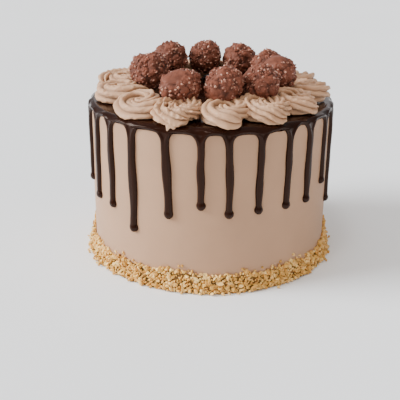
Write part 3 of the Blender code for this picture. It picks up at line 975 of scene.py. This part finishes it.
# Count on each ball, smallest and largest size, and depth in the surface of the bare chips and the crust
BARE_CHIPS = (150, (1.3 * MM, 3.1 * MM), -0.1 * MM)
CRUST_CHIPS = (120, (1.9 * MM, 4.0 * MM), 0.7 * MM)
SPOT_STRAY = 0.2
CALM_CHANCE = 0.5
# Range of places on the chocolate's painted shade ramp, one at random for each crust piece
CRUST_BUMP = (0.35, 1.0)
# Unevenness of a chip before it is cut, farthest cut from its middle, and range of the pieces' shades
CHIP_STRAY = (0.85, 1.1)
FARTHEST_CUT = 0.7
PIECE_SHADES = (0.1, 1)


def even_directions(count, rng, stray):
    """Directions spread over a ball along a golden spiral, each moved a little at random."""
    step = (np.arange(count) + 0.5) / count
    turn = math.pi * (1 + 5**0.5) * np.arange(count)
    height = 1 - 2 * step
    spread = on_circle(np.sqrt(1 - height**2), turn, height)
    return unit(spread + rng.normal(size=spread.shape) * stray)


def ball_surface(settings, index, directions):
    """Distance of a ball's surface from its centre in some directions: a lumpy sphere with the highest of
    many low domes, one for each nut under the chocolate. It also gives the domes' height, as a share, and
    how calm the surface is."""
    rng = np.random.default_rng(SEED * 200 + index)
    bent = unit(directions + WARP * ripples(directions, WARP_LENGTH, SEED * 600 + index * 3))
    bump = highest_dome(settings, bent, LARGE_BUMPS, rng) + highest_dome(settings, bent, SMALL_BUMPS, rng)
    slow = ripple(directions, CALM_LENGTH, SEED * 300 + index)
    calm = CALM * smooth_step(slow * CALM_GAIN - CALM_EDGE)
    if index in SMOOTH_SIDES:
        facing = directions @ np.array(SMOOTH_SIDES[index])
        calm = SMOOTH * smooth_step((facing - SMOOTH_EDGE) / SMOOTH_BLEND)
    bump = bump * (1 - CALM_LOSS * calm) + CALM_HEIGHT * calm
    lump = SLOW_LUMP * ripple(directions, SLOW_LENGTH, SEED * 400 + index)
    for side in even_directions(LUMPS, rng, LUMP_STRAY):
        height = rng.uniform(*LUMP_HEIGHT)
        lump += height * smooth_step((directions @ side - LUMP_EDGE) / LUMP_BLEND)
    for ball, side, height in BULGES:
        if ball == index:
            lump += height * smooth_step((directions @ np.array(side) - BULGE_EDGE) / BULGE_BLEND)
    return settings.ball_radius - BALL_SKIN + bump + lump, bump / BUMP_LIMIT, calm


def highest_dome(settings, directions, kind, rng):
    """Height of the highest of many low domes, spread evenly over the ball, in each direction."""
    count, narrow, wide, low, high = kind
    nuts = even_directions(count, rng, BUMP_STRAY)
    radius = rng.uniform(narrow, wide, count)
    height = rng.uniform(low, high, count)
    apart = np.arccos(np.clip(directions @ nuts.T, -1, 1)) * settings.ball_radius
    return (height * np.sqrt(np.clip(1 - (apart / radius) ** 2, 0, 1))).max(axis=-1)


def random_turns(count, rng):
    """Turning matrices spread evenly over all turns, from random quaternions."""
    quaternions = rng.normal(size=(4, count))
    w, x, y, z = quaternions / np.linalg.norm(quaternions, axis=0)
    return np.stack((
        np.stack((1 - 2 * (y * y + z * z), 2 * (x * y - z * w), 2 * (x * z + y * w)), axis=-1),
        np.stack((2 * (x * y + z * w), 1 - 2 * (x * x + z * z), 2 * (y * z - x * w)), axis=-1),
        np.stack((2 * (x * z - y * w), 2 * (y * z + x * w), 1 - 2 * (x * x + y * y)), axis=-1),
    ), axis=-2)


def chopped_pieces(name, centres, sizes, rng, rows, columns, cuts, nearest, lowest=0.0):
    """Many chips in one mesh. Each is a ball of points on a coarse grid, cut flat by a few random planes,
    stretched by its own three sizes, turned at random, moved to its centre and kept above a level."""
    count = len(centres)
    lift = np.linspace(0, math.pi, rows + 2)[1:-1, None]
    turn = np.arange(columns) / columns * math.tau
    ball, quads, fans = closed_tube(on_circle(np.sin(lift), turn, np.cos(lift)), (0, 0, 1), (0, 0, -1))
    points = np.broadcast_to(ball, (count, *ball.shape)).copy()
    points *= rng.uniform(*CHIP_STRAY, (count, len(ball), 1))
    for plane in unit(rng.normal(size=(cuts, count, 1, 3))):
        past = (points * plane).sum(-1, keepdims=True) - rng.uniform(nearest, FARTHEST_CUT, (count, 1, 1))
        points -= np.maximum(past, 0) * plane
    points *= sizes[:, None] / 2
    points = np.einsum("nij,nvj->nvi", random_turns(count, rng), points) + centres[:, None]
    points[..., 2] = np.maximum(points[..., 2], lowest)
    shift = (np.arange(count) * len(ball))[:, None, None]
    faces = (quads + shift).reshape(-1, 4), (fans + shift).reshape(-1, 3)
    piece = new_piece(name, points.reshape(-1, 3), *faces)
    store(piece, "shade", np.repeat(rng.uniform(*PIECE_SHADES, count), len(ball)))
    return piece


def build_balls(settings):
    """Lat-long balls whose radius is given by ball_surface, each turned so that its poles lie at random, the
    chocolate crust pieces that are half sunk in them, and the bare nut chips that stand out of them."""
    material = ball_material(settings)
    lift = np.linspace(0, math.pi, BALL_ROWS + 2)[1:-1, None]
    turn = np.arange(BALL_COLUMNS) / BALL_COLUMNS * math.tau
    directions = on_circle(np.sin(lift), turn, np.cos(lift))
    rng = np.random.default_rng(SEED + 9)
    tips = np.array(((0, 0, 1), (0, 0, -1)), float)
    chips, chip_sizes, crust, crust_sizes = [], [], [], []
    for index, centre in enumerate(ball_places()):
        spin = random_turns(1, rng)[0]
        turned = directions.reshape(-1, 3) @ spin
        surface, bump, _ = ball_surface(settings, index, turned)
        ends, end_bump, _ = ball_surface(settings, index, tips @ spin)
        points = (turned * surface[:, None] + centre).reshape(directions.shape)
        caps = tips @ spin * ends[:, None] + centre
        piece = new_piece(f"crunchy_ball_{index + 1}", *closed_tube(points, *caps))
        # Bump share, from which the material paints shade in the hollows and light on the crests
        store(piece, "bump", np.concatenate((bump, end_bump)))
        finish_piece(piece, material, "crunchy_chocolate", f"ball_{index + 1}")
        for places, sizes, kind in ((chips, chip_sizes, BARE_CHIPS), (crust, crust_sizes, CRUST_CHIPS)):
            count, span, sunk = kind
            spots = even_directions(count * 2, rng, SPOT_STRAY)
            height, _, calm = ball_surface(settings, index, spots)
            keep = np.argsort(calm + rng.uniform(0, CALM_CHANCE, len(calm)))[:count]
            places.append(spots[keep] * (height[keep] - sunk)[:, None] + centre)
            sizes.append(rng.uniform(*span, (len(keep), 3)))

    centres, sizes = np.concatenate(crust), np.concatenate(crust_sizes)
    piece = chopped_pieces("ball_crust", centres, sizes, rng, rows=4, columns=8, cuts=3, nearest=0.5)
    # Each crust piece takes a random place on the chocolate's painted shade ramp
    share = rng.uniform(*CRUST_BUMP, len(centres))
    store(piece, "bump", np.repeat(share, len(piece.data.vertices) // len(share)))
    finish_piece(piece, material, "crunchy_chocolate")

    centres, sizes = np.concatenate(chips), np.concatenate(chip_sizes)
    piece = chopped_pieces("ball_nut_chips", centres, sizes, rng, rows=3, columns=6, cuts=4, nearest=0.4)
    material = nut_material("nut_under_chocolate", CHIP_COLOUR, PALE_CHIP)
    finish_piece(piece, material, "crunchy_chocolate")


# Chopped nuts round the foot


NUT_COUNT = 1850
NUT_STRAYS = 110
GOLDEN_SHARE = (5**0.5 - 1) / 2
BANK_COLUMNS = 900
BANK_ROWS = 10
BANK_FOOT = 6.0 * MM
BANK_TOP = 1.2 * MM
BANK_POWER = 1.3
BANK_LUMPS, BANK_LUMP_LENGTH = 0.55 * MM, 3.2 * MM
# How far the bank lies under the pieces, and how far its back is inside the coat
BANK_UNDER = 1.6 * MM
BANK_INSIDE = 3.5 * MM
# Painted shadow: the bank takes the darkest nut tone, as the shade in the gaps between the pieces
BANK_PAINTED_SHADOW = 0.02
FLOOR_GAP = 0.1 * MM
# Share by which the band's height varies, and the height, waves round the cake and start of each wave
BAND_VARIATION = 0.15
BAND_WAVES = ((0.5, 3, 1), (0.4, 7, 2), (0.4, 13, 0), (0.3, 29, 0))
# Places where nuts are piled higher: angle and width in degrees, and extra share of the band's height
SIDE_PILES = ((183.0, 7.0, 0.55), (357.0, 7.0, 0.55))
# Range of a piece's size as a share of the usual one, and of its three sizes as shares of its own
SIZE_STRAY = (0.55, 1.4)
SHAPE_STRAY = ((0.9, 0.6, 0.5), (1.2, 0.9, 0.8))
STRAY_SIZES = (0.5, 0.85)
NUT_GROWTH = 1.08
# How far pieces stray from even places along the band, in places, and up it, as a share of its height
ALONG_STRAY, UP_STRAY = 0.8, 0.04
# Millimetres that pieces stand out of the bank, and that fallen ones lie beyond its foot
NUT_OUT = (-1.1, 0.4)
FALLEN_OUT = (0.2, 3.2)
# Level of the pieces that stuck above the band, and how deep they sit
STUCK_LEVEL = (1.0, 1.3)
STUCK_SUNK = 0.7 * MM
# Least height of a piece's middle over the floor, as a share of its largest size
RESTING_SHARE = 0.42
FACET_ANGLE = math.radians(32)


def band_top(settings, angle):
    """Height of the nut band round the cake, which rises and falls slowly, with a pile on either side."""
    wave, piles = 0.0, 0.0
    for height, waves, start in BAND_WAVES:
        wave = wave + height * np.sin(waves * angle + start)
    for middle, width, extra in SIDE_PILES:
        away = (angle - math.radians(middle) + math.pi) % math.tau - math.pi
        piles = piles + extra * np.exp(-((away / math.radians(width)) ** 2))
    return settings.nut_band * (1 + BAND_VARIATION * wave + piles)


def bank_point(settings, angle, level, out):
    """Point of the sloping nut bank. Level goes from 0 at its foot to 1 at its top."""
    slope = np.maximum(1 - level, 0) ** BANK_POWER
    radius = settings.coat_radius + (BANK_TOP + (BANK_FOOT - BANK_TOP) * slope + out)
    return on_circle(radius, angle, band_top(settings, angle) * level)


def build_bank(settings, material):
    """Lumpy ring against the foot of the coat, coloured dark as painted shadow in the gaps between the nut
    pieces. Its section goes down the slope and back up inside.
    """
    angle = np.arange(BANK_COLUMNS) / BANK_COLUMNS * math.tau
    level = np.concatenate((np.linspace(1, 0, BANK_ROWS), [0.0, 1.0]))[:, None]
    inside = np.concatenate((np.zeros(BANK_ROWS), [1, 1]))[:, None]
    back = -BANK_INSIDE - np.where(level == 0, BANK_FOOT, BANK_TOP)
    out = np.where(inside > 0, back, -BANK_UNDER)
    lumps = BANK_LUMPS * ripple(bank_point(settings, angle, level, out), BANK_LUMP_LENGTH, SEED + 12)
    points = bank_point(settings, angle, level, out + np.where(inside > 0, 0, lumps))
    points[..., 2] = np.maximum(points[..., 2], FLOOR_GAP)
    quads = grid_quads(len(points), BANK_COLUMNS, wrap_rows=True)
    piece = new_piece("nut_bank", points.reshape(-1, 3), quads)
    # Painted shadow: the whole bank takes the darkest tone of the nuts
    store(piece, "shade", np.full(points.shape[:2], BANK_PAINTED_SHADOW))
    finish_piece(piece, material, "buttercream_coat", "cake")


def build_nuts(settings):
    """The bank, dark with painted shadow, and chopped pieces laid all over it along a golden sequence of
    levels, with a few that stuck above the band or fell beside it."""
    rng = np.random.default_rng(SEED + 11)
    material = nut_material("chopped_nuts", tuple(settings.nut_colour), PALE_NUT)
    build_bank(settings, material)

    order = np.arange(NUT_COUNT)
    sizes = settings.nut_size * rng.uniform(*SIZE_STRAY, (NUT_COUNT, 1))
    sizes = sizes * rng.uniform(*SHAPE_STRAY, (NUT_COUNT, 3))
    turn = (order + rng.uniform(-ALONG_STRAY, ALONG_STRAY, NUT_COUNT)) / NUT_COUNT * math.tau
    level = (order * GOLDEN_SHARE + rng.uniform(-UP_STRAY, UP_STRAY, NUT_COUNT)) % 1
    laid = bank_point(settings, turn, level, rng.uniform(*NUT_OUT, NUT_COUNT) * MM)

    strays = NUT_STRAYS // 2
    turn = rng.uniform(0, math.tau, strays)
    stuck = bank_point(settings, turn, rng.uniform(*STUCK_LEVEL, strays), -STUCK_SUNK)
    turn = rng.uniform(0, math.tau, strays)
    radius = settings.coat_radius + BANK_FOOT + rng.uniform(*FALLEN_OUT, strays) * MM
    centres = np.concatenate((laid, stuck, on_circle(radius, turn, 0.0)))
    small = settings.nut_size * rng.uniform(*STRAY_SIZES, (2 * strays, 3))
    sizes = np.concatenate((sizes, small))
    centres[:, 2] = np.maximum(centres[:, 2], sizes.max(axis=1) * RESTING_SHARE)
    piece = chopped_pieces("chopped_nuts", centres, sizes * NUT_GROWTH, rng, rows=4, columns=8, cuts=8,
                           nearest=0.35, lowest=FLOOR_GAP)
    piece.data.set_sharp_from_angle(angle=FACET_ANGLE)
    finish_piece(piece, material, "buttercream_coat", "cake")


# Stage


FLOOR_HALF = 60.0
CAMERA_DISTANCE = 622.1 * MM
CAMERA_HEIGHT = 283.6 * MM
CAMERA_PITCH = 0.37665
CAMERA_YAW = -0.0135
CAMERA_ROLL = 0.00976
CAMERA_LENS = 66.9
WORLD_COLOUR = (0.95, 0.97, 1.0, 1)
WORLD_STRENGTH = 0.4

# Name, direction that it comes from, apparent size in degrees, strength, colour, and whether it lights
# surfaces and whether it is mirrored in them
LIGHTS = (
    ("key", (-1.0, -0.12, 0.5), 30.0, 6.9, (0.945, 0.995, 1.04), True, False),
    ("sheen", (-1.0, -0.12, 0.5), 30.0, 3.2, (0.95, 0.983, 1.0), False, True),
    ("fill", (0.68, -0.73, 0.36), 60.0, 0.75, (1.0, 0.85, 0.69), True, False),
    ("front", (-0.35, -1.0, 0.6), 60.0, 0.36, (1.0, 0.93, 0.86), True, False),
    ("top", (-0.1, -0.1, 1.0), 50.0, 1.1, (1.0, 0.98, 0.96), True, False),
    ("glint", (-0.25, -0.3, 1.0), 10.0, 0.35, (1.0, 0.98, 0.96), True, True),
    ("back", (0.1, 1.0, 0.42), 50.0, 0.35, (1.0, 0.93, 0.93), True, True),
)


def build_stage():
    """Wide level floor, a pale even world, and soft lights that all come from far away."""
    half = FLOOR_HALF
    corners = np.array([(-half, -half, 0), (half, -half, 0), (half, half, 0), (-half, half, 0)])
    floor = new_piece("floor", corners, np.array([[0, 1, 2, 3]]))
    floor.data.materials.append(floor_material())

    world = bpy.data.worlds.new("studio")
    world.use_nodes = True
    background = world.node_tree.nodes["Background"]
    background.inputs["Color"].default_value = WORLD_COLOUR
    background.inputs["Strength"].default_value = WORLD_STRENGTH
    bpy.context.scene.world = world

    for name, source, width, strength, colour, lit, mirrored in LIGHTS:
        light = bpy.data.lights.new(name, "SUN")
        light.angle = math.radians(width)
        light.energy = strength
        light.color = colour
        lamp = bpy.data.objects.new(name, light)
        lamp.location = source
        lamp.rotation_euler = Vector(source).to_track_quat("Z", "Y").to_euler()
        lamp.visible_diffuse = lit
        lamp.visible_glossy = mirrored
        bpy.context.scene.collection.objects.link(lamp)


def build_camera():
    """Camera of the photograph: it looks along a pitched and slightly turned line, with a small roll."""
    ahead = Vector((
        math.sin(CAMERA_YAW) * math.cos(CAMERA_PITCH),
        math.cos(CAMERA_YAW) * math.cos(CAMERA_PITCH),
        -math.sin(CAMERA_PITCH),
    ))
    right = Vector((math.cos(CAMERA_YAW), -math.sin(CAMERA_YAW), 0))
    upward = right.cross(ahead)
    level = Matrix((right, upward, -ahead)).transposed()
    data = bpy.data.cameras.new("camera")
    data.lens = CAMERA_LENS
    camera = bpy.data.objects.new("camera", data)
    turned = level @ Matrix.Rotation(CAMERA_ROLL, 3, "Z")
    camera.matrix_world = Matrix.Translation((0, -CAMERA_DISTANCE, CAMERA_HEIGHT)) @ turned.to_4x4()
    bpy.context.scene.collection.objects.link(camera)
    bpy.context.scene.camera = camera


# Operators and panel


class CAKE_OT_coat(bpy.types.Operator):
    """Add the buttercream coat"""

    bl_idname = "cake.coat"
    bl_label = "Buttercream Coat"

    def execute(self, context):
        build_coat(context.scene.drip_cake)
        return {"FINISHED"}


class CAKE_OT_glaze(bpy.types.Operator):
    """Add the chocolate glaze with its drips"""

    bl_idname = "cake.glaze"
    bl_label = "Drip Glaze"

    def execute(self, context):
        build_glaze(context.scene.drip_cake)
        return {"FINISHED"}


class CAKE_OT_rosettes(bpy.types.Operator):
    """Add the ring of piped rosettes"""

    bl_idname = "cake.rosettes"
    bl_label = "Piped Rosettes"

    def execute(self, context):
        build_rosettes(context.scene.drip_cake)
        return {"FINISHED"}


class CAKE_OT_balls(bpy.types.Operator):
    """Add the crunchy chocolate balls with their crust and nut chips"""

    bl_idname = "cake.balls"
    bl_label = "Crunchy Balls"

    def execute(self, context):
        build_balls(context.scene.drip_cake)
        return {"FINISHED"}


class CAKE_OT_nuts(bpy.types.Operator):
    """Add the band of chopped nuts round the foot"""

    bl_idname = "cake.nuts"
    bl_label = "Chopped Nuts"

    def execute(self, context):
        build_nuts(context.scene.drip_cake)
        return {"FINISHED"}


class CAKE_OT_stage(bpy.types.Operator):
    """Add the floor, the lights and the camera"""

    bl_idname = "cake.stage"
    bl_label = "Stage"

    def execute(self, context):
        build_stage()
        build_camera()
        return {"FINISHED"}


STEPS = (CAKE_OT_coat, CAKE_OT_glaze, CAKE_OT_rosettes, CAKE_OT_balls, CAKE_OT_nuts, CAKE_OT_stage)


class CAKE_PT_panel(bpy.types.Panel):
    """Lists the cake's sizes and colours and the steps that build it"""

    bl_label = "Drip Cake"
    bl_idname = "CAKE_PT_panel"
    bl_space_type = "VIEW_3D"
    bl_region_type = "UI"
    bl_category = "Drip Cake"

    def draw(self, context):
        settings = context.scene.drip_cake
        for name in CakeSettings.__annotations__:
            self.layout.prop(settings, name)
        for step in STEPS:
            self.layout.operator(step.bl_idname)


CLASSES = (CakeSettings, *STEPS, CAKE_PT_panel)


def register():
    """Makes the settings, the operators and the panel known."""
    for item in CLASSES:
        bpy.utils.register_class(item)
    bpy.types.Scene.drip_cake = PointerProperty(type=CakeSettings)


def unregister():
    """Takes back what register did, in reverse."""
    del bpy.types.Scene.drip_cake
    for item in reversed(CLASSES):
        bpy.utils.unregister_class(item)


def main():
    """Builds the whole scene."""
    register()
    bpy.ops.cake.coat()
    bpy.ops.cake.glaze()
    bpy.ops.cake.rosettes()
    bpy.ops.cake.balls()
    bpy.ops.cake.nuts()
    bpy.ops.cake.stage()


if __name__ == "__main__":
    main()
